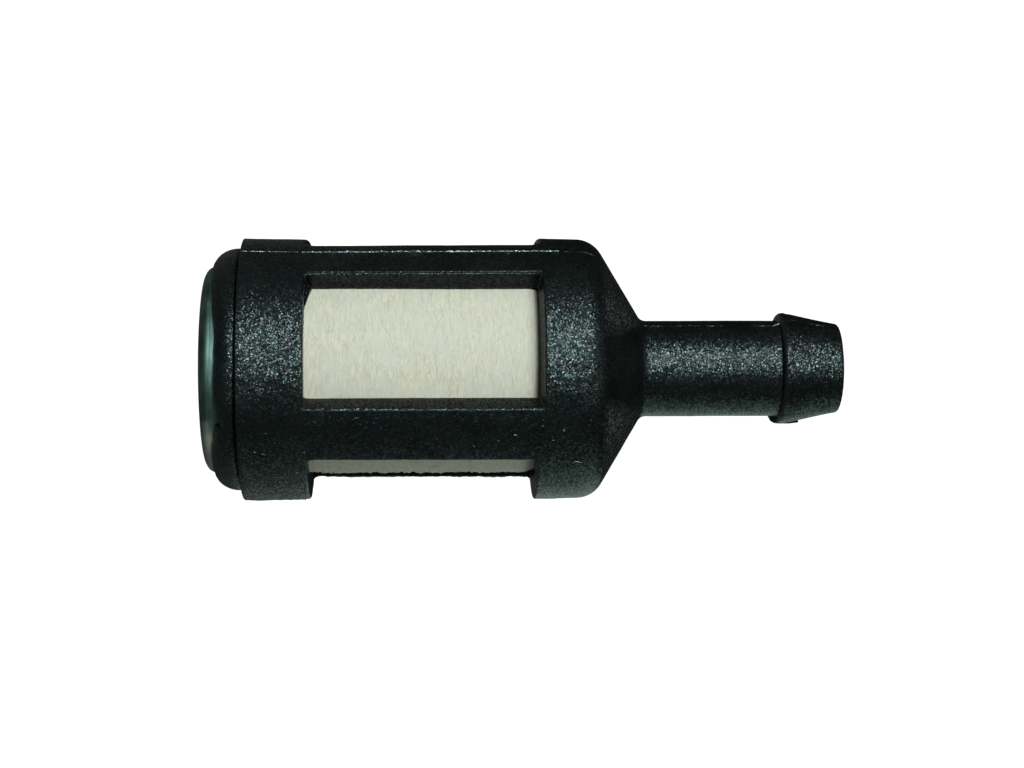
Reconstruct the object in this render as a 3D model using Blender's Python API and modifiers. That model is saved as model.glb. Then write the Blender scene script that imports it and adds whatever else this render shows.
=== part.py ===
"""Tank fuel filter of a small two-stroke engine, standing on its end weight.

The origin is the centre of the weight's flat face and +Z runs along the filter's axis to the hose
nipple, so z is the distance from that face, and an outline's r is the distance from the axis.
"""

import math

import bmesh
import bpy

MM = 0.001

# Driving dimensions.
LENGTH = 30.8 * MM
COLLAR_RADIUS = 6.35 * MM
STEM_RADIUS = 2.33 * MM
BARB_RADIUS = 2.71 * MM
TIP_RADIUS = 2.10 * MM
TAPER_BREAK_RADIUS = 2.31 * MM
NIPPLE_BORE_RADIUS = 1.30 * MM
FIT_GAP = 0.30 * MM  # clearance left between pieces that touch on the real filter

# Stations along the axis, from the weight's face.
LIP_END = 0.55 * MM
REAR_COLLAR_START = 1.86 * MM
WINDOW_START = 5.04 * MM
WINDOW_END = 16.18 * MM
SHOULDER_CORNER = 18.70 * MM
STEM_START = 21.12 * MM
BARB_STEP = 27.75 * MM
BARB_CREST = 28.10 * MM
TAPER_BREAK = 29.60 * MM  # where the barb's taper steepens towards the mouth

# The moulded body.
LIP_RADIUS = 5.87 * MM
LIP_MOUTH_RADIUS = 5.15 * MM
LIP_CURL = 0.72 * MM
SHOULDER_FILLET = 1.40 * MM
STEM_FILLET = 0.35 * MM
EDGE_FILLET = 0.10 * MM
BARB_FILLET = 0.30 * MM
BORE_RADIUS = 5.40 * MM
BORE_START = 1.55 * MM
SEAT_CHAMFER = 0.30 * MM  # where the body's bore and the weight widen behind the lip
LEDGE = 16.90 * MM  # the flat step that the felt's front end seats on
LEDGE_RADIUS = 4.30 * MM
SOCKET_RADIUS = 2.40 * MM  # the blind hole that takes the core's front end
SOCKET_START = 18.35 * MM
SOCKET_END = 19.60 * MM

# The cage's ribs and windows: angles in degrees, anticlockwise from +X seen from the nipple's end.
RIB_CENTRES = (43.2, 128.8, 213.2, 300.3)
RIB_WIDTH = 24.6
WINDOW_CORNER = 0.40 * MM
WINDOW_DRAFT = math.radians(10)
WINDOW_CUT_INSIDE = 0.80 * MM  # how far the window cutters pass the wall on each side
WINDOW_CUT_OUTSIDE = 1.10 * MM

# The end weight.
WEIGHT_RIM_RADIUS = LIP_MOUTH_RADIUS - FIT_GAP
WEIGHT_RADIUS = BORE_RADIUS - FIT_GAP
WEIGHT_RIM_FILLET = 0.45 * MM
WEIGHT_SHOULDER = 1.45 * MM  # the step that the rolled lip grips
WEIGHT_END = 4.40 * MM
SPIGOT_RADIUS = 1.20 * MM
SPIGOT_END = 5.60 * MM

# The filter pack, from the outside in.
FELT_RADIUS = BORE_RADIUS - FIT_GAP
FELT_BORE_RADIUS = 2.90 * MM
SCREEN_RADIUS = FELT_BORE_RADIUS - FIT_GAP
SCREEN_THICKNESS = 0.20 * MM
CORE_RADIUS = SCREEN_RADIUS - SCREEN_THICKNESS - FIT_GAP
CORE_BORE_RADIUS = SPIGOT_RADIUS + FIT_GAP
CORE_START = WEIGHT_END + FIT_GAP
CORE_END = SOCKET_END - FIT_GAP
CORE_SLOT_ROWS = ((6.40 * MM, 9.30 * MM), (9.90 * MM, 12.80 * MM), (13.40 * MM, 16.30 * MM))
CORE_SLOTS_PER_ROW = 4
CORE_SLOT_WIDTH = 50.0
CORE_SLOT_PHASE = 0.3  # first slot's start, as a share of the slots' spacing
CORE_CUT_MARGIN = 0.50 * MM
CORE_SLOT_CORNER = 0.20 * MM

# Mesh fineness.
BODY_STEPS = 48
CORE_STEPS = 24
ARC_STEP = math.radians(22.5)
SECTOR_STEPS = 4
CORNER_SEGMENTS = 3
SHARP_ANGLE = math.radians(32)
MERGE_DISTANCE = 0.001 * MM
LEAST_RADIAL_RUN = 0.1 * MM  # a shorter edge isn't a corner that runs through a wall
SAME_ANGLE = 0.01


def clear_scene():
    for obj in list(bpy.data.objects):
        bpy.data.objects.remove(obj, do_unlink=True)


def new_collection(name):
    collection = bpy.data.collections.new(name)
    bpy.context.scene.collection.children.link(collection)
    return collection


def new_object(name, mesh, collection):
    obj = bpy.data.objects.new(name, mesh)
    collection.objects.link(obj)
    return obj


def material(name, colour, roughness, metallic=0.0):
    result = bpy.data.materials.new(name)
    result.use_nodes = True
    shader = result.node_tree.nodes["Principled BSDF"]
    shader.inputs["Base Color"].default_value = (*colour, 1.0)
    shader.inputs["Roughness"].default_value = roughness
    shader.inputs["Metallic"].default_value = metallic
    return result


def black_nylon():
    return material("black_nylon", (0.018, 0.020, 0.023), 0.45)


def plated_steel():
    return material("plated_steel", (0.36, 0.41, 0.38), 0.38, metallic=1.0)


def white_felt():
    return material("white_felt", (0.74, 0.71, 0.60), 0.95)


def screen_weave():
    return material("screen_weave", (0.66, 0.68, 0.64), 0.55)


def natural_nylon():
    return material("natural_nylon", (0.80, 0.78, 0.70), 0.50)


def corner_arc(before, corner, after, radius):
    """Points of the arc that rounds a corner of an outline."""
    to_before = (before[0] - corner[0], before[1] - corner[1])
    to_after = (after[0] - corner[0], after[1] - corner[1])
    length_before = math.hypot(*to_before)
    length_after = math.hypot(*to_after)
    ub = (to_before[0] / length_before, to_before[1] / length_before)
    ua = (to_after[0] / length_after, to_after[1] / length_after)
    inside = math.acos(max(-1.0, min(1.0, ub[0] * ua[0] + ub[1] * ua[1])))
    tangent = radius / math.tan(inside / 2)
    middle = (ub[0] + ua[0], ub[1] + ua[1])
    scale = radius / math.sin(inside / 2) / math.hypot(*middle)
    centre = (corner[0] + middle[0] * scale, corner[1] + middle[1] * scale)
    start = (corner[0] + ub[0] * tangent, corner[1] + ub[1] * tangent)
    end = (corner[0] + ua[0] * tangent, corner[1] + ua[1] * tangent)
    first = math.atan2(start[1] - centre[1], start[0] - centre[0])
    last = math.atan2(end[1] - centre[1], end[0] - centre[0])
    sweep = (last - first + math.pi) % (2 * math.pi) - math.pi
    count = max(1, math.ceil(abs(sweep) / ARC_STEP))
    angles = [first + sweep * i / count for i in range(count + 1)]
    return [(centre[0] + radius * math.cos(a), centre[1] + radius * math.sin(a)) for a in angles]


def rounded_outline(corners):
    """The outline through (r, z, corner radius) points, with its corners rounded. It doesn't close."""
    points = []
    for i, (r, z, radius) in enumerate(corners):
        if radius:
            points += corner_arc(corners[i - 1][:2], (r, z), corners[i + 1][:2], radius)
        else:
            points.append((r, z))
    return points


def turned(name, corners, steps, closed, collection):
    """A body of revolution. The outline runs down its outer side; closed joins its end to its start."""
    points = rounded_outline(corners)
    edges = [(i, i + 1) for i in range(len(points) - 1)]
    if closed:
        edges.append((len(points) - 1, 0))
    mesh = bpy.data.meshes.new(name)
    mesh.from_pydata([(r, 0, z) for r, z in points], edges, [])
    obj = new_object(name, mesh, collection)
    screw = obj.modifiers.new("turn", "SCREW")
    screw.axis = "Z"
    screw.steps = steps
    screw.render_steps = steps
    screw.use_merge_vertices = True
    screw.merge_threshold = MERGE_DISTANCE
    return obj


def sector_cutter(name, outline, start, sweep, corner, collection):
    """A wedge that cuts a window in a wall: an r-z outline spun about the axis, its corners rounded."""
    bm = bmesh.new()
    verts = [bm.verts.new((r, 0, z)) for r, z in outline]
    face = bm.faces.new(verts)
    bmesh.ops.spin(
        bm, geom=[face], cent=(0, 0, 0), axis=(0, 0, 1), angle=sweep, steps=SECTOR_STEPS
    )
    bmesh.ops.recalc_face_normals(bm, faces=bm.faces)
    across = [e for e in bm.edges if is_corner_edge(e, sweep)]
    bmesh.ops.bevel(
        bm, geom=across, offset=corner, segments=CORNER_SEGMENTS, profile=0.5, affect="EDGES"
    )
    mesh = bpy.data.meshes.new(name)
    bm.to_mesh(mesh)
    bm.free()
    cutter = new_object(name, mesh, collection)
    cutter.rotation_euler.z = start
    cutter.hide_render = True
    cutter.display_type = "WIRE"
    return cutter


def is_corner_edge(edge, sweep):
    """Whether an edge of a sector runs radially along one of its two flat ends."""
    (x0, y0, _), (x1, y1, _) = edge.verts[0].co, edge.verts[1].co
    radial = abs(math.hypot(x0, y0) - math.hypot(x1, y1)) > LEAST_RADIAL_RUN
    azimuths = (math.atan2(y0, x0), math.atan2(y1, x1))
    at_end = any(all(abs(a - end) < SAME_ANGLE for a in azimuths) for end in (0.0, sweep))
    return radial and at_end


def cut(obj, cutter):
    boolean = obj.modifiers.new("cut_" + cutter.name, "BOOLEAN")
    boolean.operation = "DIFFERENCE"
    boolean.solver = "EXACT"
    boolean.object = cutter


def finish_piece(obj, finish):
    """Makes a piece's modifiers real, shades it smooth between its sharp edges and colours it."""
    bpy.context.view_layer.update()
    depsgraph = bpy.context.evaluated_depsgraph_get()
    mesh = bpy.data.meshes.new_from_object(obj.evaluated_get(depsgraph))
    obj.modifiers.clear()
    obj.data = mesh
    mesh.name = obj.name
    mesh.shade_smooth()
    mesh.set_sharp_from_angle(angle=SHARP_ANGLE)
    mesh.materials.clear()
    mesh.materials.append(finish)


def window_spans():
    """Start and sweep of the window after each rib."""
    spans = []
    for i, centre in enumerate(RIB_CENTRES):
        following = RIB_CENTRES[(i + 1) % len(RIB_CENTRES)]
        sweep = (following - centre) % 360 - RIB_WIDTH
        spans.append((math.radians(centre + RIB_WIDTH / 2), math.radians(sweep)))
    return spans


def window_outline():
    """A window's cut through the wall, from inside the bore to clear of the collar."""
    inner = BORE_RADIUS - WINDOW_CUT_INSIDE
    outer = COLLAR_RADIUS + WINDOW_CUT_OUTSIDE
    slope = math.tan(WINDOW_DRAFT)
    end_at_inner = WINDOW_END - (COLLAR_RADIUS - inner) * slope
    end_at_outer = WINDOW_END + (outer - COLLAR_RADIUS) * slope
    return [(inner, WINDOW_START), (outer, WINDOW_START), (outer, end_at_outer), (inner, end_at_inner)]


def body_corners():
    """The moulded body's outline, from the nipple's mouth down the outside and back up the bores."""
    return [
        (TIP_RADIUS, LENGTH, EDGE_FILLET),
        (TAPER_BREAK_RADIUS, TAPER_BREAK, 0),
        (BARB_RADIUS, BARB_CREST, BARB_FILLET),
        (BARB_RADIUS, BARB_STEP, EDGE_FILLET),
        (STEM_RADIUS, BARB_STEP, EDGE_FILLET),
        (STEM_RADIUS, STEM_START, STEM_FILLET),
        (COLLAR_RADIUS, SHOULDER_CORNER, SHOULDER_FILLET),
        (COLLAR_RADIUS, REAR_COLLAR_START, 0),
        (LIP_RADIUS, REAR_COLLAR_START, 0),
        (LIP_RADIUS, LIP_END, LIP_CURL - EDGE_FILLET),
        (LIP_MOUTH_RADIUS, LIP_END, 0),
        (LIP_MOUTH_RADIUS, BORE_START - SEAT_CHAMFER, 0),
        (BORE_RADIUS, BORE_START, 0),
        (BORE_RADIUS, LEDGE, 0),
        (LEDGE_RADIUS, LEDGE, 0),
        (SOCKET_RADIUS, SOCKET_START, 0),
        (SOCKET_RADIUS, SOCKET_END, 0),
        (NIPPLE_BORE_RADIUS, SOCKET_END, 0),
        (NIPPLE_BORE_RADIUS, LENGTH, 0),
    ]


def make_filter_body(parts, cutters):
    """One nylon moulding: rolled lip, rear collar, four-rib cage, shoulder and barbed nipple."""
    corners = body_corners()
    # The first corner is rounded too, so its outline starts on the flat of the nipple's mouth.
    mouth = ((NIPPLE_BORE_RADIUS + TIP_RADIUS) / 2, LENGTH, 0)
    body = turned("filter_body", [mouth] + corners, BODY_STEPS, True, parts)
    outline = window_outline()
    for i, (start, sweep) in enumerate(window_spans(), start=1):
        cut(body, sector_cutter(f"window_{i}", outline, start, sweep, WINDOW_CORNER, cutters))
    finish_piece(body, black_nylon())


def make_end_weight(parts):
    """The metal slug that closes the rear end, with a spigot that centres the core."""
    corners = [
        (0, SPIGOT_END, 0),
        (SPIGOT_RADIUS, SPIGOT_END, 0),
        (SPIGOT_RADIUS, WEIGHT_END, 0),
        (WEIGHT_RADIUS, WEIGHT_END, 0),
        (WEIGHT_RADIUS, WEIGHT_SHOULDER + SEAT_CHAMFER, 0),
        (WEIGHT_RIM_RADIUS, WEIGHT_SHOULDER, 0),
        (WEIGHT_RIM_RADIUS, 0, WEIGHT_RIM_FILLET),
        (0, 0, 0),
    ]
    weight = turned("end_weight", corners, BODY_STEPS, False, parts)
    finish_piece(weight, plated_steel())


def make_felt_sleeve(parts):
    """The thick felt tube that does the filtering, seen through the cage's windows."""
    start = WEIGHT_END + FIT_GAP
    end = LEDGE - FIT_GAP
    corners = [
        (FELT_BORE_RADIUS, end, 0),
        (FELT_RADIUS, end, 0),
        (FELT_RADIUS, start, 0),
        (FELT_BORE_RADIUS, start, 0),
    ]
    felt = turned("felt_sleeve", corners, BODY_STEPS, True, parts)
    finish_piece(felt, white_felt())


def make_mesh_screen(parts):
    """The fine woven strainer between the felt and the core, drawn as a thin tube."""
    start = CORE_START + FIT_GAP
    end = LEDGE - 2 * FIT_GAP
    corners = [
        (SCREEN_RADIUS - SCREEN_THICKNESS, end, 0),
        (SCREEN_RADIUS, end, 0),
        (SCREEN_RADIUS, start, 0),
        (SCREEN_RADIUS - SCREEN_THICKNESS, start, 0),
    ]
    screen = turned("mesh_screen", corners, CORE_STEPS, True, parts)
    finish_piece(screen, screen_weave())


def make_core_tube(parts, cutters):
    """The slotted tube that holds the felt open and leads the fuel into the nipple."""
    corners = [
        (CORE_BORE_RADIUS, CORE_END, 0),
        (CORE_RADIUS, CORE_END, 0),
        (CORE_RADIUS, CORE_START, 0),
        (CORE_BORE_RADIUS, CORE_START, 0),
    ]
    core = turned("core_tube", corners, CORE_STEPS, True, parts)
    sweep = math.radians(CORE_SLOT_WIDTH)
    for row, (low, high) in enumerate(CORE_SLOT_ROWS, start=1):
        for slot in range(CORE_SLOTS_PER_ROW):
            start = 2 * math.pi * (slot + CORE_SLOT_PHASE) / CORE_SLOTS_PER_ROW
            inner = CORE_BORE_RADIUS - CORE_CUT_MARGIN
            outer = CORE_RADIUS + CORE_CUT_MARGIN
            outline = [(inner, low), (outer, low), (outer, high), (inner, high)]
            name = f"core_slot_{row}_{slot + 1}"
            cut(core, sector_cutter(name, outline, start, sweep, CORE_SLOT_CORNER, cutters))
    finish_piece(core, natural_nylon())


def main():
    clear_scene()
    parts = new_collection("fuel_filter")
    cutters = new_collection("cutters")
    make_filter_body(parts, cutters)
    make_end_weight(parts)
    make_felt_sleeve(parts)
    make_mesh_screen(parts)
    make_core_tube(parts, cutters)


main()
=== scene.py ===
"""Looks of a small engine's tank fuel filter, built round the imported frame.

The filter stands on its end weight with +Z along its axis, and the camera is turned on its side so that
the filter lies across the picture with its hose nipple to the right. Angles called "turn" are measured
round the axis from the side that faces the camera (-Y) towards the top of the picture (-X).
"""

import math
import random

import bmesh
import bpy
from mathutils import Matrix, Vector, noise


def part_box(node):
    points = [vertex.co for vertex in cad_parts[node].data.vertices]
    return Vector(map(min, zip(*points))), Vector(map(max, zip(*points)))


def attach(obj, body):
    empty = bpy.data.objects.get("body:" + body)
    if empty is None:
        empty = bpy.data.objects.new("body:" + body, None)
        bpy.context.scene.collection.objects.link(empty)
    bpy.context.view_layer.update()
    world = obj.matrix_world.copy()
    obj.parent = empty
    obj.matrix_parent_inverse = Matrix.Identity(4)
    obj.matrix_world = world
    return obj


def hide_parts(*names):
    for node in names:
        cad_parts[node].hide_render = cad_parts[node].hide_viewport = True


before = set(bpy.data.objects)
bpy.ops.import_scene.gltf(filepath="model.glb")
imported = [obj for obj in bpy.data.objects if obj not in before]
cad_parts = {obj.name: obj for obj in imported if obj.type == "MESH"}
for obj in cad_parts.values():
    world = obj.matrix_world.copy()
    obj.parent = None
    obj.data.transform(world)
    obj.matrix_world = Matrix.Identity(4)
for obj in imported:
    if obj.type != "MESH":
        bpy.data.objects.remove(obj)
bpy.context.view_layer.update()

MM = 0.001

# Sizes of the body that the frame gives.
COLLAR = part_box("filter_body")[1].x / MM
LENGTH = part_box("filter_body")[1].z / MM

# The camera, in mm: it stands opposite CAMERA_HEIGHT and is aimed a little off to frame the filter.
CAMERA_DISTANCE = 107.6
CAMERA_HEIGHT = 10.22
AIM_HEIGHT = 14.84
AIM_SIDE = 0.74
CAMERA_ROLL = math.radians(-0.15)
LENS = 77.5

# The cage: rib centres and width in degrees, and the windows between them in mm.
RIB_TURNS = (-30.3, 56.8, 141.2, 226.7)
RIB_WIDTH = 24.6
CAGE_BORE = 5.16
CAGE_REAR = 4.20  # the stretch of the body that the window panels cover
CAGE_FRONT = 17.00
WINDOW_REAR = 5.06
WINDOW_FRONT = 16.12
EDGE_RADIUS = 0.10  # of each window's inner edge, and of its outer one unless window_shapes changes it
WEB_DEPTH = 0.6  # share of the wall above the thin web across one corner of the front window
WEB_LEGS = (1.36, 0.36)

# The rest of the body's profile in mm: rolled lip, collars, shoulder, stem and bore.
LIP_CENTRE = (5.00, 1.62)
LIP_RADII = (0.87, 1.00)
GROOVE_RADIUS = 5.80
COLLAR_REAR = 1.86
COLLAR_CORNER = 0.05
TAPER_START = 1.9
REAR_TAPER = 0.05  # mm of radius lost from there to the windows, and regained over them
FRONT_TAPER = 0.02  # mm of radius per mm of height
COLLAR_FRONT = 17.9  # the shoulder starts with the collar's radius at this height
SHOULDER_START = 17.92
SHOULDER_SLOPE = 59.0  # degrees from the axis
SHOULDER_FILLET = 1.40
STEM_RADIUS = 2.34
STEM_FOOT = 0.50
BARB_STEP = 27.72
BORE_RADIUS = 1.30
MOUTH_CORNER = 0.12

# The felt sleeve in mm, with how deep it sinks at its front end and where that starts.
FELT_RADIUS = 5.10
FELT_BORE = 2.9
FELT_END_RADIUS = 4.9
FELT_REAR = 4.55
FELT_ROW = 0.06
FELT_ROWS = 200
FELT_COLUMN = 1.2  # degrees
FELT_SINK = 0.25
FELT_SINK_START = 15.3

# Turns of the two lines of flash where the mould's halves met, and of two other ragged edges.
UPPER_FLASH = 61.5
LOWER_FLASH = -118.0
FAR_EDGE = -121.6
UNDERSIDE = -91.0

# Raised specks on the body; the first ones are wear along the front window's lower edge.
SPECKS = 170
WORN_SPECKS = 110

# How bright the floor and the world look to the camera, and what the world lends to everything else.
FLOOR_GLOW = 1.0
WORLD_SEEN = 1.1
WORLD_FILL = 0.015

# Scratches across the collars, each from one (turn, height) to another.
SCUFFS = (
    ((35.0, 4.00), (36.8, 4.90)),
    ((-38.4, 3.00), (-38.9, 3.18)),
    ((-49.6, 3.02), (-51.2, 3.10)),
    ((-55.6, 3.02), (-57.4, 3.30)),
    ((-43.2, 17.55), (-44.2, 17.95)),
    ((112.0, 2.60), (118.0, 3.70)),
    ((150.0, 17.20), (153.0, 17.80)),
    ((-150.0, 3.10), (-147.0, 3.35)),
)

# How finely the body's skin is divided: round it, along each window, and round half a corner.
COLUMN_DEGREES = 1.5
SIDE_STATIONS = 60
HALF_ARC_POINTS = 5


def direction(turn):
    """Unit x and y of a turn in degrees."""
    angle = math.radians(turn)
    return -math.sin(angle), -math.cos(angle)


def point(turn, r, z):
    """A turn in degrees and a radius and height in mm, as a place in metres."""
    x, y = direction(turn)
    return Vector((x * r * MM, y * r * MM, z * MM))


# ---------------------------------------------------------------- mesh building


class Skin:
    """A mesh grown from rings and strips of points, welded where they meet."""

    def __init__(self):
        self.bm = bmesh.new()

    def strip(self, rows, closed=True):
        """Quads between successive rows of points; closed joins each row's end to its start."""
        made = [[self.bm.verts.new(p) for p in row] for row in rows]
        for low, high in zip(made, made[1:]):
            count = len(low)
            for i in range(count if closed else count - 1):
                j = (i + 1) % count
                self.bm.faces.new((low[i], low[j], high[j], high[i]))

    def cap(self, row, centre):
        """A fan from a closed row to its centre."""
        made = [self.bm.verts.new(p) for p in row]
        middle = self.bm.verts.new(centre)
        for i, vert in enumerate(made):
            self.bm.faces.new((vert, made[(i + 1) % len(made)], middle))

    def mesh(self, name, sharp=35):
        bmesh.ops.remove_doubles(self.bm, verts=self.bm.verts, dist=0.0004 * MM)
        bmesh.ops.dissolve_degenerate(self.bm, edges=self.bm.edges, dist=0.0002 * MM)
        bmesh.ops.recalc_face_normals(self.bm, faces=self.bm.faces)
        result = bpy.data.meshes.new(name)
        self.bm.to_mesh(result)
        self.bm.free()
        result.shade_smooth()
        result.set_sharp_from_angle(angle=math.radians(sharp))
        return result


def add_piece(name, mesh, material, slot, *replaced):
    """A visual piece that rides the body and may stand in for CAD nodes."""
    obj = bpy.data.objects.new(name, mesh)
    bpy.context.scene.collection.objects.link(obj)
    mesh.materials.append(material)
    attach(obj, "root")
    if replaced:
        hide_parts(*replaced)


def arc(centre, radii, first, last, count):
    """Points (r, z) of an elliptical arc; angles in degrees from +r towards +z."""
    points = []
    for i in range(count + 1):
        angle = math.radians(first + (last - first) * i / count)
        points.append((centre[0] + radii[0] * math.cos(angle), centre[1] + radii[1] * math.sin(angle)))
    return points


def straight(start, end, count):
    """Points (r, z) from start to end, without the end."""
    return [
        (start[0] + (end[0] - start[0]) * i / count, start[1] + (end[1] - start[1]) * i / count)
        for i in range(count)
    ]


# ---------------------------------------------------------------- the moulded body


def panels():
    """For each window: the turns of the rib centres on its two sides and of its own two edges."""
    result = []
    for i, rib in enumerate(RIB_TURNS):
        following = RIB_TURNS[(i + 1) % len(RIB_TURNS)]
        if following < rib:
            following += 360
        result.append((rib, following, rib + RIB_WIDTH / 2, following - RIB_WIDTH / 2))
    return result


def columns_of(panel):
    """The turns of a panel's columns, from one rib's centre to the next."""
    first, last = panel[:2]
    count = round((last - first) / COLUMN_DEGREES)
    return [first + (last - first) * i / count for i in range(count + 1)]


def all_columns():
    """Every column's turn round the body, once round."""
    turns = []
    for panel in panels():
        turns += columns_of(panel)[:-1]
    return turns


def collar_radius(z):
    """The outer radius over the collars and ribs: a faint taper in each collar from the mould."""
    if z < WINDOW_REAR:
        return COLLAR - REAR_TAPER * (z - TAPER_START) / (WINDOW_REAR - TAPER_START)
    if z > WINDOW_FRONT:
        return COLLAR - FRONT_TAPER * (z - WINDOW_FRONT)
    return COLLAR - REAR_TAPER + REAR_TAPER * (z - WINDOW_REAR) / (WINDOW_FRONT - WINDOW_REAR)


def rectangle_loop(turns, rear, front):
    """A panel's outer edge, anticlockwise from its first column's rear end: (turn, z) points."""
    heights = [rear + (front - rear) * i / SIDE_STATIONS for i in range(SIDE_STATIONS + 1)]
    loop = [(t, rear) for t in turns[:-1]]
    loop += [(turns[-1], z) for z in heights[:-1]]
    loop += [(t, front) for t in reversed(turns[1:])]
    loop += [(turns[0], z) for z in reversed(heights[1:])]
    return loop


def corner_points(corner, along_in, along_out, radii, is_straight):
    """A rounded or cut corner's points, from its start to its end: corner and axes in (u, z) mm."""
    steps = 2 * HALF_ARC_POINTS
    points = []
    for k in range(steps + 1):
        angle = math.pi / 2 * k / steps
        a = radii[0] * (1 - k / steps if is_straight else 1 - math.sin(angle))
        b = radii[1] * (k / steps if is_straight else 1 - math.cos(angle))
        points.append(tuple(c - a * i + b * o for c, i, o in zip(corner, along_in, along_out)))
    return points


def window_loop(window, offset, depth, counts):
    """A window's edge at a depth below the outer surface, grown outwards by an offset.

    The points match rectangle_loop's in number and order. Each side runs from the middle of one
    rounded corner to the middle of the next.
    """
    share = depth / (COLLAR - CAGE_BORE)
    radius = COLLAR - depth
    arc_mm = math.radians(1) * radius
    low = (window["low"] + window["low_foot"] * share) * arc_mm - offset
    high = (window["high"] + window["high_foot"] * share) * arc_mm + offset
    rear = window["rear"] - offset
    front = window["front"] - window["draft"] * share + offset
    corners = [(low, rear), (high, rear), (high, front), (low, front)]
    ways = [(1, 0), (0, 1), (-1, 0), (0, -1)]
    arcs = []
    for i, corner in enumerate(corners):
        has_web = i == window["web_corner"] and share > WEB_DEPTH
        radii = WEB_LEGS if has_web else [r + offset for r in window["corners"][i]]
        arcs.append(corner_points(corner, ways[i - 1], ways[i], radii, has_web))
    loop = []
    for i in range(4):
        first = arcs[i][HALF_ARC_POINTS:]
        last = arcs[(i + 1) % 4][: HALF_ARC_POINTS + 1]
        between = counts[i % 2] - 2 * HALF_ARC_POINTS
        start, end = first[-1], last[0]
        side = first[:-1]
        for k in range(between):
            t = k / between
            side.append((start[0] + (end[0] - start[0]) * t, start[1] + (end[1] - start[1]) * t))
        side += last[:-1]
        loop += side
    return [(u / arc_mm, z) for u, z in loop]


def blended(outer, inner, t):
    """A loop part of the way from one loop to another."""
    return [(a[0] + (b[0] - a[0]) * t, a[1] + (b[1] - a[1]) * t) for a, b in zip(outer, inner)]


def add_window_panel(skin, panel, window):
    """The stretch of the cage round one window: outer skin, rounded edge, wall and inner skin."""
    turns = columns_of(panel)
    counts = (len(turns) - 1, SIDE_STATIONS)
    rectangle = rectangle_loop(turns, CAGE_REAR, CAGE_FRONT)
    edge = window["edge"]
    outer_edge = window_loop(window, edge, 0, counts)
    rows = []
    rings = 9  # over the outer skin, closer together towards the window
    steps = 5  # over each rounded edge, the wall and the inner skin
    for k in range(rings):
        loop = blended(rectangle, outer_edge, (k / rings) ** 0.8)
        rows.append([point(t, collar_radius(z), z) for t, z in loop])
    for k in range(steps + 1):
        angle = math.pi / 2 * k / steps
        depth = edge * (1 - math.cos(angle))
        loop = window_loop(window, edge * (1 - math.sin(angle)), depth, counts)
        rows.append([point(t, collar_radius(z) - depth, z) for t, z in loop])
    wall = COLLAR - CAGE_BORE
    for k in range(1, steps + 1):
        depth = edge + (wall - edge - EDGE_RADIUS) * k / steps
        loop = window_loop(window, 0, depth, counts)
        rows.append([point(t, COLLAR - depth, z) for t, z in loop])
    for k in range(1, steps + 1):
        angle = math.pi / 2 * k / steps
        depth = wall - EDGE_RADIUS * (1 - math.sin(angle))
        loop = window_loop(window, EDGE_RADIUS * (1 - math.cos(angle)), depth, counts)
        rows.append([point(t, COLLAR - depth, z) for t, z in loop])
    inner_edge = window_loop(window, EDGE_RADIUS, wall, counts)
    for k in range(1, steps + 1):
        loop = blended(inner_edge, rectangle, k / steps)
        rows.append([point(t, CAGE_BORE, z) for t, z in loop])
    skin.strip(rows)


def lip_shift(turn):
    """How far the rolled lip's end strays along the axis, in mm: it was rolled over the weight
    unevenly, and it leaves more of the weight free on the lower front side."""
    x, y = direction(turn)
    wave = 0.15 * math.cos(math.radians(2 * turn)) + 0.68 * math.exp(-(((turn + 60) / 33) ** 2))
    slow = noise.noise(Vector((2.2 * x, 2.2 * y, 0.3)))
    fast = noise.noise(Vector((9 * x, 9 * y, 4.1)))
    return wave + 0.10 * slow + 0.05 * fast


def lip_rows():
    """The rolled lip's outside, from its mouth to the collar's step: (r, z, share of the shift)."""
    rows = []
    for r, z in arc(LIP_CENTRE, LIP_RADII, -90, 0, 16):
        rows.append((r, z, ((LIP_CENTRE[1] - z) / LIP_RADII[1]) ** 1.5))
    rows += [(5.86, 1.72, 0), (GROOVE_RADIUS, 1.80, 0), (GROOVE_RADIUS, COLLAR_REAR, 0)]
    return rows


def outer_rear_rows():
    """From the lip's mouth over the groove and the rear collar to the window panels."""
    corner = COLLAR_CORNER
    first = COLLAR_REAR + corner
    count = 12
    rows = lip_rows()
    rows.append((COLLAR - corner - 0.15, COLLAR_REAR, 0))
    rounded = arc((COLLAR - corner, COLLAR_REAR + corner), (corner, corner), -90, 0, 4)
    rows += [(r, z, 0) for r, z in rounded]
    for k in range(1, count + 1):
        z = first + (CAGE_REAR - first) * k / count
        rows.append((collar_radius(z), z, 0))
    return rows


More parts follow.
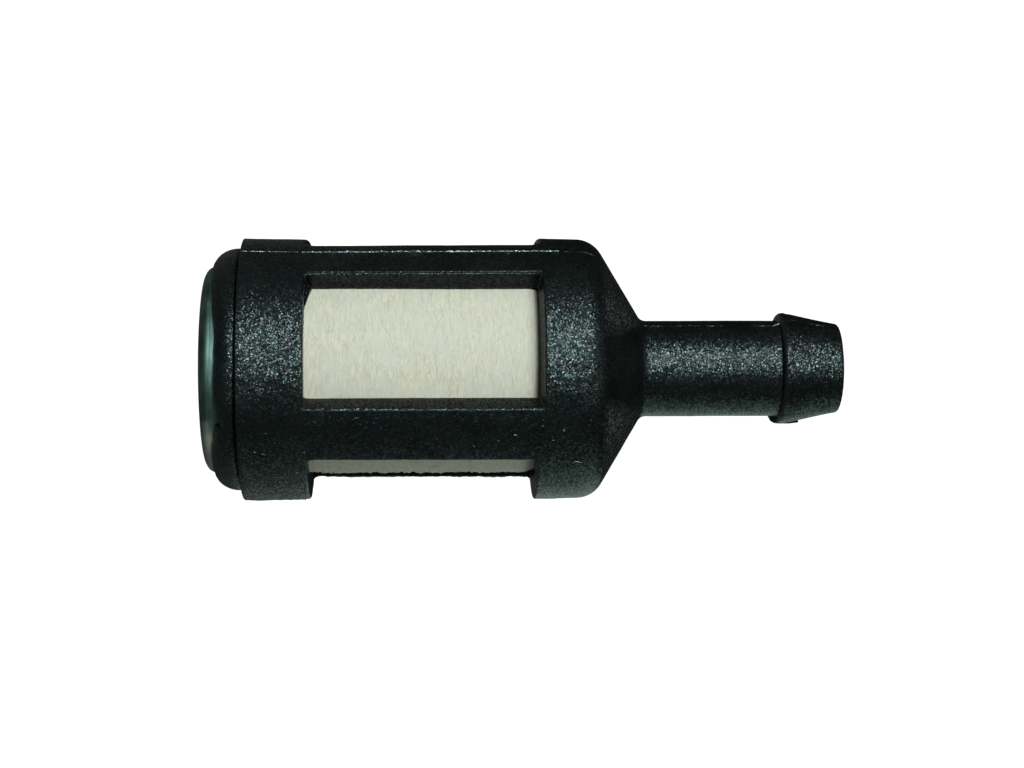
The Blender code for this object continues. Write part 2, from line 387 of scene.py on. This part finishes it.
def outer_front_rows():
    """From the front collar over the shoulder, the stem and the barb to the nipple's mouth."""
    slope = math.radians(SHOULDER_SLOPE)
    fillet, foot, stem = SHOULDER_FILLET, STEM_FOOT, STEM_RADIUS
    r_top = collar_radius(COLLAR_FRONT)
    points = straight((collar_radius(CAGE_FRONT), CAGE_FRONT), (r_top, SHOULDER_START), 4)
    points += arc((r_top - fillet, SHOULDER_START), (fillet, fillet), 0, math.degrees(slope), 12)
    r_end, z_end = points[-1]
    # The cone runs on to a small fillet against the stem.
    r_foot = stem + foot * (1 - math.cos(slope))
    z_foot = z_end + (r_end - r_foot) / math.tan(slope)
    points += straight((r_end, z_end), (r_foot, z_foot), 12)[1:]
    centre = (stem + foot, z_foot + foot * math.sin(slope))
    points += arc(centre, (foot, foot), 180 + math.degrees(slope), 180, 6)
    points += straight((stem, centre[1]), (stem, BARB_STEP), 24)[1:]
    points += arc((stem + 0.08, BARB_STEP), (0.08, 0.08), 180, 90, 3)
    points += arc((2.50, 28.08), (0.22, 0.28), -90, 38, 9)
    points += straight((2.69, 28.26), (2.32, 29.95), 10)[1:]
    points += straight((2.32, 29.95), (2.19, 30.60), 4)
    points += arc((2.03, 30.63), (0.16, 0.17), 0, 90, 5)
    points.append((1.80, LENGTH))
    return [(r, z, 0) for r, z in points]


def inner_front_rows():
    """From the nipple's mouth down its bore to the cavity that holds the filter pack."""
    corner = MOUTH_CORNER
    points = arc((1.42, LENGTH - corner), (corner, corner), 90, 180, 4)
    points += straight((BORE_RADIUS, LENGTH - corner), (BORE_RADIUS, 19.60), 20)[1:]
    points += [(BORE_RADIUS, 19.60), (2.40, 19.60), (2.40, 18.35), (4.30, 16.90)]
    points += [(4.80, CAGE_FRONT), (CAGE_BORE, CAGE_FRONT)]
    return [(r, z, 0) for r, z in points]


def inner_rear_rows():
    """From the cage's bore back over the weight's seat to the lip's mouth."""
    points = straight((CAGE_BORE, CAGE_REAR), (CAGE_BORE, 2.0), 4)
    points += [(CAGE_BORE, 2.0), (CAGE_BORE, 1.75), (4.93, 1.50)]
    rows = [(r, z, 0) for r, z in points]
    rows += [(4.93, 1.20, 0.4), (4.93, 0.90, 0.75), (4.93, 0.75, 0.9), (4.95, 0.66, 1), (5.00, 0.62, 1)]
    return rows


def turned_rows(rows, turns):
    """Rings of points from (r, z, share of the lip's shift) rows."""
    made = []
    for r, z, share in rows:
        if share:
            made.append([point(t, r, z + share * lip_shift(t)) for t in turns])
        else:
            made.append([point(t, r, z) for t in turns])
    return made


def window_shapes():
    """The four windows, from the front one round by the top.

    Low and high are the turns of a window's long edges, and the feet are the degrees by which they
    have moved on at the wall's inner side. Draft is how many mm the front end moves back there.
    Corners are rear low, rear high, front high and front low, each (round, along) in mm.
    """
    shapes = []
    for _, _, low, high in panels():
        shape = {"low": low, "high": high, "low_foot": 0, "high_foot": 0, "web_corner": None}
        shape.update(rear=WINDOW_REAR, front=15.95, draft=0.0, edge=EDGE_RADIUS)
        shape["corners"] = [(0.36, 0.36)] * 4
        shapes.append(shape)
    front, top, back, bottom = shapes
    front.update(low=front["low"] + 1.15, low_foot=2.1, high_foot=2.6, web_corner=1)
    front.update(rear=4.95, front=WINDOW_FRONT, draft=0.20)
    front["corners"] = [(0.12, 0.12), (0.14, 0.14), (0.14, 0.14), (0.14, 0.14)]
    top.update(low=top["low"] + 2.0, edge=0.28)
    back.update(edge=0.16)
    bottom.update(front=15.84)
    return shapes


def ridge(skin, stations, half_width):
    """A fine raised line on the body. Stations are (turn, root radius, crest radius, z)."""
    sunk = 0.03
    rows = []
    for i, (turn, root, crest, z) in enumerate(stations):
        before = stations[max(i - 1, 0)]
        after = stations[min(i + 1, len(stations) - 1)]
        along = Vector((math.radians(after[0] - before[0]) * root, after[3] - before[3])).normalized()
        spread = math.degrees(half_width * along.y / root)
        lean = half_width * along.x
        rows.append(
            [
                point(turn - spread, root - sunk, z + lean),
                point(turn, crest, z),
                point(turn + spread, root - sunk, z - lean),
            ]
        )
    skin.strip(rows)
    for row in (rows[0], rows[-1]):
        skin.bm.faces.new([skin.bm.verts.new(p) for p in row])


def flash_line(turn, outline, height):
    """Stations of a lengthwise line of flash whose height wanders along its length."""
    stations = []
    for r, z in outline:
        slow = noise.noise(Vector((z * 1.7, turn, 0)))
        fast = noise.noise(Vector((z * 6, turn, 5)))
        stations.append((turn, r, r + height * max(1 + slow + 0.8 * fast, 0.15), z))
    return stations


def scuff(first, last):
    """Stations of a short raised scratch across a collar between two (turn, z) points."""
    stations = []
    steps = 6
    for i in range(steps + 1):
        t = i / steps
        turn = first[0] + (last[0] - first[0]) * t
        z = first[1] + (last[1] - first[1]) * t + 0.03 * math.sin(math.pi * t)
        r = collar_radius(z)
        stations.append((turn, r, r + 0.03 * math.sin(math.pi * (0.1 + 0.8 * t)), z))
    return stations


def smooth_noise(p, scale, seed):
    """Noise at a place in metres, with its scale per mm."""
    return noise.noise(Vector((p.x * scale / MM + seed, p.y * scale / MM, p.z * scale / MM)))


def roughen(mesh, amount):
    """Moulding unevenness: moves each vertex along its normal by a slow noise, in mm."""
    normals = [v.normal.copy() for v in mesh.vertices]
    for vert, normal in zip(mesh.vertices, normals):
        shift = amount * (smooth_noise(vert.co, 0.6, 3) + 0.5 * smooth_noise(vert.co, 1.9, 11))
        vert.co += normal * shift * MM


def make_body(material, shaded_wall_material):
    """The moulded body; the walls of its windows get a copy of the nylon that reflects less, painted
    shade for these recesses.
    """
    skin = Skin()
    turns = all_columns()
    skin.strip(turned_rows(outer_rear_rows(), turns))
    for panel, window in zip(panels(), window_shapes()):
        add_window_panel(skin, panel, window)
    skin.strip(turned_rows(outer_front_rows() + inner_front_rows(), turns))
    skin.strip(turned_rows(inner_rear_rows(), turns))
    mesh = skin.mesh("cage_body")
    roughen(mesh, 0.012)
    add_piece("cage_body", mesh, material, "black_nylon", "filter_body")
    mesh.materials.append(shaded_wall_material)
    for face in mesh.polygons:
        centre = face.center / MM
        in_wall = CAGE_BORE - 0.1 < math.hypot(centre.x, centre.y) < COLLAR - 0.17
        if in_wall and WINDOW_REAR - 0.15 < centre.z < WINDOW_FRONT + 0.1:
            face.material_index = 1


def add_flash(skin):
    """Flash along the mould's parting lines, and ragged edges of the windows and collars."""
    nose = [(r, z) for r, z, _ in outer_front_rows() if 17.0 < z < 27.6 or 28.2 < z < 30.4]
    collar = [(collar_radius(z), z) for z in [1.95 + 0.15 * k for k in range(101)] if z < 17.0]
    ridge(skin, flash_line(UPPER_FLASH, [p for p in collar if p[1] < 4.8], 0.020), 0.04)
    ridge(skin, flash_line(UPPER_FLASH, [p for p in collar if p[1] > 4.7], 0.048), 0.05)
    ridge(skin, flash_line(UPPER_FLASH, nose, 0.003), 0.03)
    ridge(skin, flash_line(LOWER_FLASH, [p for p in collar if p[1] < WINDOW_REAR - 0.1], 0.03), 0.045)
    front = [p for p in collar if p[1] > WINDOW_FRONT + 0.1]
    ridge(skin, flash_line(LOWER_FLASH, front + nose, 0.03), 0.045)
    window = window_shapes()[0]
    edge = [p for p in collar if window["rear"] < p[1] < WINDOW_FRONT]
    ridge(skin, flash_line(window["low"] - 1.0, edge, 0.060), 0.055)
    ridge(skin, flash_line(window["high"] + 1.5, edge, 0.040), 0.050)
    # Ragged flash on the bottom window's far edge, and burrs under the two collars.
    ragged = [(collar_radius(z), z) for z in [5.6 + 0.09 * k for k in range(113)]]
    ridge(skin, flash_line(FAR_EDGE, ragged, 0.05), 0.06)
    ridge(skin, flash_line(UNDERSIDE, [p for p in collar if 2.0 < p[1] < 4.9], 0.045), 0.06)
    ridge(skin, flash_line(UNDERSIDE, [p for p in collar if p[1] > 16.2], 0.030), 0.06)


def add_specks(skin):
    """Worn specks along the front window's lower edge, then loose ones over the lower side."""
    low = window_shapes()[0]["low"]
    rng = random.Random(3)
    for k in range(SPECKS):
        if k < WORN_SPECKS:
            turn = low - 1.3 - abs(rng.gauss(0, 3.2))
            z = rng.uniform(4.6, 16.8)
        else:
            turn = rng.uniform(-66, -22)
            z = rng.choice((rng.uniform(2.2, 4.9), rng.uniform(5, 16), rng.uniform(16.2, 17.6)))
            on_rib = -42 < turn < -18
            if 4.9 < z < 16.2 and not on_rib:
                continue
        end = (turn + rng.uniform(-0.5, 0.5), z + rng.uniform(0.06, 0.15))
        ridge(skin, scuff((turn, z), end), 0.040)


def make_mould_lines(material):
    """Flash, worn specks, scratches, and the small fin under the barb."""
    skin = Skin()
    add_flash(skin)
    add_specks(skin)
    for first, last in SCUFFS:
        ridge(skin, scuff(first, last), 0.035)
    fin = [(2.40, 27.45), (2.62, 27.58), (2.72, 27.75), (2.75, 28.0), (2.75, 28.5), (2.70, 28.95)]
    fin.append((2.50, 29.0))
    ridge(skin, [(-97.0, STEM_RADIUS if z < 28 else 2.45, r, z) for r, z in fin], 0.06)
    mesh = skin.mesh("mould_lines", sharp=80)
    add_piece("mould_lines", mesh, material, "black_nylon")


# ---------------------------------------------------------------- the end weight


def make_weight(material):
    """The metal slug: crowned rim, flat face with a shallow turned dish, step under the lip, spigot."""
    points = [(0.25, 0.035)]
    points += straight((0.25, 0.035), (3.2, 0.02), 8)[1:]
    points += [(3.2, 0.02), (3.6, 0.0), (4.0, 0.0)]
    points += arc((4.30, 0.46), (0.68, 0.46), -90, 0, 14)
    points += [(4.98, 0.8), (4.98, 1.42), (5.12, 1.70), (5.12, 4.30), (5.02, 4.40), (1.30, 4.40)]
    points += [(1.20, 4.50), (1.20, 5.50), (1.10, 5.60)]
    turns = [i * 2.0 for i in range(180)]
    skin = Skin()
    rows = [[point(t, r, z) for t in turns] for r, z in points]
    skin.strip(rows)
    skin.cap(rows[0], point(0, 0, 0.035))
    skin.cap(rows[-1], point(0, 0, 5.60))
    mesh = skin.mesh("weight_slug", sharp=30)
    add_piece("weight_slug", mesh, material, "plated_steel", "end_weight")


# ---------------------------------------------------------------- the filter pack


def felt_surface(turn, z):
    """The felt's radius in mm: slow swelling, lumps and strands, sunk at its front end."""
    p = point(turn, FELT_RADIUS, z)
    swell = 0.03 * noise.noise(Vector((p.x * 350, p.y * 350, p.z * 350)))
    lumps = 0.016 * noise.noise(Vector((p.x * 1300, p.y * 1300, p.z * 1500)))
    strands = 0.010 * noise.noise(Vector((p.x * 900, p.y * 900, p.z * 5200)))
    sink = FELT_SINK * min(max((z - FELT_SINK_START) / 0.7, 0), 1) ** 2
    # On its lowest side, next to the ragged flash, the felt is pressed in unevenly.
    x, _ = direction(turn)
    slow = noise.noise(Vector((p.x * 900, 3.0, z * 4.5)))
    fast = noise.noise(Vector((2.0, 7.0, z * 11)))
    press = 0.075 * max(x, 0) ** 24 * (1 + 0.9 * slow + 0.7 * fast)
    return FELT_RADIUS + swell + lumps + strands - sink - press


def make_felt(material):
    """The felt sleeve, its two flat ends and its bore; its seam is behind the third rib."""
    turns = [i * FELT_COLUMN + RIB_TURNS[2] for i in range(round(360 / FELT_COLUMN))]
    heights = [FELT_REAR + FELT_ROW * k for k in range(FELT_ROWS + 1)]
    rear, front = heights[0], heights[-1]
    bore_rows = 12
    skin = Skin()
    rows = [[point(t, r, rear) for t in turns] for r in (FELT_BORE, FELT_END_RADIUS)]
    rows += [[point(t, felt_surface(t, z), z) for t in turns] for z in heights[1:-1]]
    rows += [[point(t, r, front) for t in turns] for r in (FELT_END_RADIUS, FELT_BORE)]
    for k in range(1, bore_rows):
        z = front + (rear - front) * k / bore_rows
        rows.append([point(t, FELT_BORE, z) for t in turns])
    rows.append([point(t, FELT_BORE, rear) for t in turns])
    skin.strip(rows)
    mesh = skin.mesh("felt_tube", sharp=60)
    add_piece("felt_tube", mesh, material, "white_felt", "felt_sleeve")


def make_fibres(material, count=2600):
    """Loose fibres lying on the felt in the windows, mostly running round it."""
    rng = random.Random(7)
    skin = Skin()
    spans = [(low, high) for _, _, low, high in panels()]
    for _ in range(count):
        low, high = rng.choice(spans)
        turn = rng.uniform(low + 1, high - 1)
        z = rng.uniform(WINDOW_REAR + 0.1, WINDOW_FRONT - 0.5)
        length = rng.uniform(0.25, 0.9)
        slant = rng.gauss(0, 0.30)
        bend = rng.gauss(0, 0.5)
        lift = rng.uniform(-0.006, 0.010)
        thickness = rng.uniform(0.005, 0.009)
        rows = []
        steps = 7
        for k in range(steps + 1):
            t = k / steps - 0.5
            angle = slant + bend * t
            along = t * length
            here = turn + math.degrees(along * math.cos(angle) / FELT_RADIUS)
            height = z + along * math.sin(angle)
            height = min(max(height, WINDOW_REAR + 0.02), WINDOW_FRONT - 0.40)
            here = min(max(here, low + 0.3), high - 0.3)
            up = lift * (1 - 3 * t * t) + 0.004
            r = felt_surface(here, height) + up
            around = math.degrees(thickness / FELT_RADIUS)
            aside, lean = around * math.sin(angle), thickness * math.cos(angle)
            rows.append(
                [
                    point(here, r + thickness, height),
                    point(here - aside, r - thickness, height + lean),
                    point(here + aside, r - thickness, height - lean),
                ]
            )
        skin.strip(rows)
    mesh = skin.mesh("felt_fibres", sharp=180)
    add_piece("felt_fibres", mesh, material, "white_felt")


# ---------------------------------------------------------------- materials


class Nodes:
    """A short way to write a material's nodes."""

    def __init__(self, name):
        self.material = bpy.data.materials.new(name)
        self.material.use_nodes = True
        self.tree = self.material.node_tree
        self.shader = self.tree.nodes["Principled BSDF"]

    def new(self, kind, **settings):
        node = self.tree.nodes.new(kind)
        for key, value in settings.items():
            setattr(node, key, value)
        return node

    def link(self, a, b):
        self.tree.links.new(a, b)

    def set(self, **values):
        for key, value in values.items():
            self.shader.inputs[key.replace("_", " ")].default_value = value

    def place(self, scale=(1, 1, 1)):
        """Object coordinates in mm, stretched by scale."""
        coords = self.new("ShaderNodeTexCoord")
        mapping = self.new("ShaderNodeMapping")
        mapping.inputs["Scale"].default_value = [s / MM for s in scale]
        self.link(coords.outputs["Object"], mapping.inputs["Vector"])
        return mapping.outputs["Vector"]

    def noise(self, vector, scale, detail=3.0, roughness=0.5):
        node = self.new("ShaderNodeTexNoise")
        self.link(vector, node.inputs["Vector"])
        node.inputs["Scale"].default_value = scale
        node.inputs["Detail"].default_value = detail
        node.inputs["Roughness"].default_value = roughness
        return node.outputs["Fac"]

    def cells(self, vector, scale, output="Distance"):
        node = self.new("ShaderNodeTexVoronoi")
        self.link(vector, node.inputs["Vector"])
        node.inputs["Scale"].default_value = scale
        return node.outputs[output]

    def ramp(self, value, *stops):
        """A colour ramp through (position, colour or grey) stops."""
        node = self.new("ShaderNodeValToRGB")
        elements = node.color_ramp.elements
        while len(elements) < len(stops):
            elements.new(0.5)
        for element, (position, colour) in zip(elements, stops):
            element.position = position
            element.color = (*colour, 1) if isinstance(colour, tuple) else (colour, colour, colour, 1)
        self.link(value, node.inputs["Fac"])
        return node.outputs["Color"]

    def fill(self, sockets, values):
        """Links each value to its socket, or sets it there if it is a number or a tuple."""
        for socket, value in zip(sockets, values):
            if isinstance(value, (int, float, tuple)):
                socket.default_value = value
            else:
                self.link(value, socket)

    def math(self, operation, *values):
        node = self.new("ShaderNodeMath", operation=operation)
        self.fill(node.inputs, values)
        return node.outputs["Value"]

    def vector_math(self, operation, *values):
        node = self.new("ShaderNodeVectorMath", operation=operation)
        self.fill(node.inputs, values)
        return node.outputs["Vector"]

    def axis(self, vector, name):
        """One coordinate of a vector."""
        node = self.new("ShaderNodeSeparateXYZ")
        self.link(vector, node.inputs[0])
        return node.outputs[name]

    def mix(self, factor, under, colour):
        """A blend from a node's colour to a plain colour."""
        node = self.new("ShaderNodeMix", data_type="RGBA")
        self.fill((node.inputs[0], node.inputs[6], node.inputs[7]), (factor, under, (*colour, 1)))
        return node.outputs[2]

    def bump(self, height, depth):
        """Bump whose height runs from 0 to depth mm."""
        node = self.new("ShaderNodeBump")
        node.inputs["Strength"].default_value = 1.0
        node.inputs["Distance"].default_value = depth * MM
        self.link(height, node.inputs["Height"])
        return node.outputs["Normal"]


def black_nylon(name="black_nylon", level=0.44, glint=0.52, ior=1.53):
    """Glass-filled nylon off a spark-eroded mould: fine facets that glint, dust specks, uneven tone.

    Level is the shader's specular level, and glint is how far the facets tilt from the surface.
    """
    n = Nodes(name)
    place = n.place()
    tone = n.noise(place, 0.55, 4)
    facets = n.cells(place, 18.0, "Color")
    grain = n.math("ADD", n.math("MULTIPLY", tone, 0.45), n.math("MULTIPLY", facets, 0.55))
    base = n.ramp(
        grain,
        (0.30, (0.0002, 0.0004, 0.0004)),
        (0.52, (0.0014, 0.0021, 0.0020)),
        (0.78, (0.010, 0.0130, 0.0125)),
    )
    dust = n.ramp(n.cells(place, 3.6), (0.045, 0.6), (0.10, 0.0))
    patchy = n.ramp(n.noise(place, 0.8, 3), (0.46, 0.12), (0.66, 1.0))
    dust = n.math("MULTIPLY", dust, patchy)
    n.link(n.mix(dust, base, (0.20, 0.20, 0.18)), n.shader.inputs["Base Color"])
    tilt = n.vector_math("MULTIPLY_ADD", facets, (glint,) * 3, (-glint / 2,) * 3)
    wave = n.bump(n.noise(place, 1.6, 3), 0.03)
    lean = n.vector_math("ADD", wave, tilt)
    n.link(n.vector_math("NORMALIZE", lean), n.shader.inputs["Normal"])
    rough = n.ramp(n.noise(place, 8.0, 2.5, 0.6), (0.3, 0.29), (0.7, 0.44))
    n.link(rough, n.shader.inputs["Roughness"])
    hues = n.ramp(
        n.cells(n.place((1.1, 0.9, 1.0)), 9.0, "Color"),
        (0.15, (0.56, 0.86, 1.0)),
        (0.5, (0.64, 1.0, 0.88)),
        (0.85, (0.92, 0.90, 1.0)),
    )
    n.link(hues, n.shader.inputs["Specular Tint"])
    n.set(IOR=ior)
    n.shader.inputs["Specular IOR Level"].default_value = level
    return n.material


def plated_steel():
    """Dull plated metal with a blue-green tint, turned marks, stains, and painted light on its lower
    side, which is paler and less metallic.
    """
    n = Nodes("plated_steel")
    place = n.place()
    tone = n.noise(place, 0.9, 4)
    base = n.ramp(
        tone,
        (0.30, (0.085, 0.170, 0.155)),
        (0.55, (0.14, 0.235, 0.215)),
        (0.8, (0.25, 0.30, 0.26)),
    )
    marks = n.noise(n.place((0.4, 0.4, 12)), 1.0, 4, 0.6)
    scored = n.mix(n.ramp(marks, (0.35, 0.75), (0.55, 0.0)), base, (0.045, 0.085, 0.075))
    stain = n.ramp(n.noise(place, 2.4, 5, 0.7), (0.55, 0.0), (0.75, 0.6))
    stained = n.mix(stain, scored, (0.09, 0.11, 0.08))
    # Painted light: towards +X, the lower side in the picture, the metal is painted paler and made less
    # metallic.
    edge = n.math("ADD", n.axis(place, "X"), n.math("MULTIPLY", tone, 1.6))
    painted_light_side = n.ramp(n.math("MULTIPLY", edge, 0.2), (0.62, 0.0), (0.82, 0.85))
    n.link(n.mix(painted_light_side, stained, (0.27, 0.29, 0.24)), n.shader.inputs["Base Color"])
    n.link(n.math("SUBTRACT", 1.0, painted_light_side), n.shader.inputs["Metallic"])
    n.link(n.bump(marks, 0.010), n.shader.inputs["Normal"])
    n.link(n.ramp(tone, (0.3, 0.40), (0.7, 0.55)), n.shader.inputs["Roughness"])
    return n.material


def felt(name, painted_brightness=1.0):
    """Pressed off-white felt: strands running round the sleeve, clumps, a soft sheen, and a painted
    shadow at its front end.
    """
    n = Nodes(name)
    place = n.place()
    strands = n.noise(n.place((1, 1, 7)), 1.6, 5, 0.65)
    clumps = n.noise(place, 1.1, 4)
    # painted_brightness scales the felt's colours; above 1 it paints light onto a copy of the felt.
    light = tuple(painted_brightness * c for c in (0.66, 0.66, 0.54))
    dark = tuple(painted_brightness * c for c in (0.49, 0.49, 0.39))
    crossing = n.noise(n.place((1, 1, 2.2)), 4.5, 4, 0.6)
    fleck = n.math("ADD", n.math("MULTIPLY", strands, 0.62), n.math("MULTIPLY", crossing, 0.38))
    streaks = n.ramp(fleck, (0.38, dark), (0.60, light))
    cool = tuple(painted_brightness * c for c in (0.57, 0.60, 0.52))
    mottled = n.mix(n.ramp(clumps, (0.4, 0.0), (0.7, 0.8)), streaks, cool)
    # Painted shadow: the felt is painted darker towards the window's front end, where the front wall
    # shades it.
    near_wall = n.math("MULTIPLY_ADD", n.axis(place, "Z"), 1.25, -1.25 * FELT_SINK_START)
    painted_wall_shadow = n.ramp(near_wall, (0.0, 0.0), (0.85, 0.75))
    n.link(n.mix(painted_wall_shadow, mottled, (0.10, 0.10, 0.08)), n.shader.inputs["Base Color"])
    fuzz = n.noise(n.place((1.4, 1.4, 5)), 6.0, 4, 0.7)
    n.link(n.bump(fuzz, 0.035), n.shader.inputs["Normal"])
    n.set(Roughness=0.95, Sheen_Weight=0.25, Sheen_Roughness=0.5)
    n.shader.inputs["Specular IOR Level"].default_value = 0.2
    return n.material


def screen_weave():
    """The fine woven strainer between the felt and the core, seen as a pale even cloth."""
    n = Nodes("screen_weave")
    place = n.place()
    base = n.ramp(n.noise(place, 1.2, 3), (0.3, (0.52, 0.54, 0.50)), (0.7, (0.68, 0.69, 0.64)))
    n.link(base, n.shader.inputs["Base Color"])
    n.link(n.bump(n.noise(place, 6, 2), 0.01), n.shader.inputs["Normal"])
    n.set(Roughness=0.45)
    return n.material


def natural_nylon():
    """Undyed nylon, a little translucent."""
    n = Nodes("natural_nylon")
    place = n.place()
    base = n.ramp(n.noise(place, 0.7, 4), (0.3, (0.70, 0.67, 0.56)), (0.7, (0.82, 0.80, 0.71)))
    n.link(base, n.shader.inputs["Base Color"])
    n.link(n.bump(n.noise(place, 9, 3), 0.008), n.shader.inputs["Normal"])
    n.set(Roughness=0.42)
    n.shader.inputs["Subsurface Weight"].default_value = 0.1
    return n.material


def set_material(node, material):
    """Paints a carried-over CAD node."""
    node.data.materials.clear()
    node.data.materials.append(material)


# ---------------------------------------------------------------- the stage


def make_floor():
    """A wide pale floor under the filter."""
    bm = bmesh.new()
    bmesh.ops.create_grid(bm, x_segments=8, y_segments=8, size=2.0)
    mesh = bpy.data.meshes.new("floor")
    bm.to_mesh(mesh)
    bm.free()
    obj = bpy.data.objects.new("floor", mesh)
    bpy.context.scene.collection.objects.link(obj)
    n = Nodes("pale_floor")
    n.set(Base_Color=(0.20, 0.20, 0.195, 1), Roughness=0.9, Emission_Color=(1, 1, 1, 1))
    path = n.new("ShaderNodeLightPath")
    glow = n.math("MULTIPLY", path.outputs["Is Camera Ray"], FLOOR_GLOW)
    n.link(glow, n.shader.inputs["Emission Strength"])
    mesh.materials.append(n.material)


def make_world():
    """A white backdrop for the camera, and a faint fill for every other ray."""
    world = bpy.data.worlds.new("studio")
    bpy.context.scene.world = world
    world.use_nodes = True
    tree = world.node_tree
    tree.nodes.clear()
    output = tree.nodes.new("ShaderNodeOutputWorld")
    seen = tree.nodes.new("ShaderNodeBackground")
    seen.inputs["Color"].default_value = (1, 1, 1, 1)
    seen.inputs["Strength"].default_value = WORLD_SEEN
    fill = tree.nodes.new("ShaderNodeBackground")
    fill.inputs["Color"].default_value = (0.93, 1.0, 0.98, 1)
    fill.inputs["Strength"].default_value = WORLD_FILL
    path = tree.nodes.new("ShaderNodeLightPath")
    mix = tree.nodes.new("ShaderNodeMixShader")
    tree.links.new(path.outputs["Is Camera Ray"], mix.inputs[0])
    tree.links.new(fill.outputs[0], mix.inputs[1])
    tree.links.new(seen.outputs[0], mix.inputs[2])
    tree.links.new(mix.outputs[0], output.inputs["Surface"])


def area_light(name, location, target, size, power, colour=(1, 1, 1), glossy=True):
    """A round soft light: lengths in mm, power in watts. Without glossy it gives no highlights."""
    data = bpy.data.lights.new(name, "AREA")
    data.shape = "DISK"
    data.size = size * MM
    data.energy = power
    data.color = colour
    obj = bpy.data.objects.new(name, data)
    bpy.context.scene.collection.objects.link(obj)
    obj.location = Vector(location) * MM
    obj.rotation_euler = (Vector(target) * MM - obj.location).to_track_quat("-Z", "Y").to_euler()
    obj.visible_glossy = glossy


def make_lights():
    """The main light is by the camera, a little towards the top of the picture. The others fill in
    the nipple's end, the lower side and the back; the last two give no highlights, and are there
    to bring up the felt on the sides that the main light misses."""
    middle = (0, 0, LENGTH / 2)
    area_light("key", (-92, -225, 75), middle, 50, 0.68, (0.96, 1.0, 0.99))
    area_light("end_fill", (-40, -110, 230), middle, 140, 0.035, (1.0, 0.98, 0.92))
    area_light("bounce", (170, 75, 60), middle, 170, 0.045, (0.74, 1.0, 0.90))
    area_light("overhead", (0, 180, 255), middle, 90, 0.05)
    area_light("rear", (120, 210, 50), middle, 140, 0.038, (0.78, 1.0, 0.92))
    area_light("felt_back", (-30, 230, 80), middle, 160, 0.22, glossy=False)
    area_light("felt_side", (190, 0, 60), middle, 120, 0.075, glossy=False)


def make_camera():
    """The camera looks along +Y, rolled so that +Z runs to the right of the picture."""
    camera = bpy.data.cameras.new("camera")
    camera.lens = LENS
    camera.sensor_width = 36
    camera.clip_start = 0.001
    camera.clip_end = 50
    obj = bpy.data.objects.new("camera", camera)
    bpy.context.scene.collection.objects.link(obj)
    place = Vector((0, -CAMERA_DISTANCE, CAMERA_HEIGHT)) * MM
    target = Vector((AIM_SIDE, 0, AIM_HEIGHT)) * MM
    back = (place - target).normalized()
    right = Vector((0, 0, 1))
    right = (right - back * right.dot(back)).normalized()
    up = back.cross(right)
    turn = Matrix((right, up, back)).transposed() @ Matrix.Rotation(CAMERA_ROLL, 3, "Z")
    obj.matrix_world = Matrix.Translation(place) @ turn.to_4x4()
    bpy.context.scene.camera = obj


def main():
    scene = bpy.context.scene
    scene.view_settings.view_transform = "Standard"
    nylon = black_nylon()
    # The window walls get a shaded copy of the nylon, with weaker reflection: painted shade.
    make_body(nylon, black_nylon("black_nylon_wall_shaded", level=0.25, ior=1.32))
    # Flash and specks get a copy of the nylon worn smoother, and reflecting more strongly as a painted
    # highlight.
    make_mould_lines(black_nylon("black_nylon_rubbed_highlit", level=1.0, glint=0.36))
    make_weight(plated_steel())
    make_felt(felt("white_felt"))
    # The loose fibres get a lighter copy of the felt: painted light that offsets the shade on them.
    make_fibres(felt("felt_fibre", 1.12))
    set_material(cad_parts["mesh_screen"], screen_weave())
    set_material(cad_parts["core_tube"], natural_nylon())
    make_floor()
    make_world()
    make_lights()
    make_camera()


main()
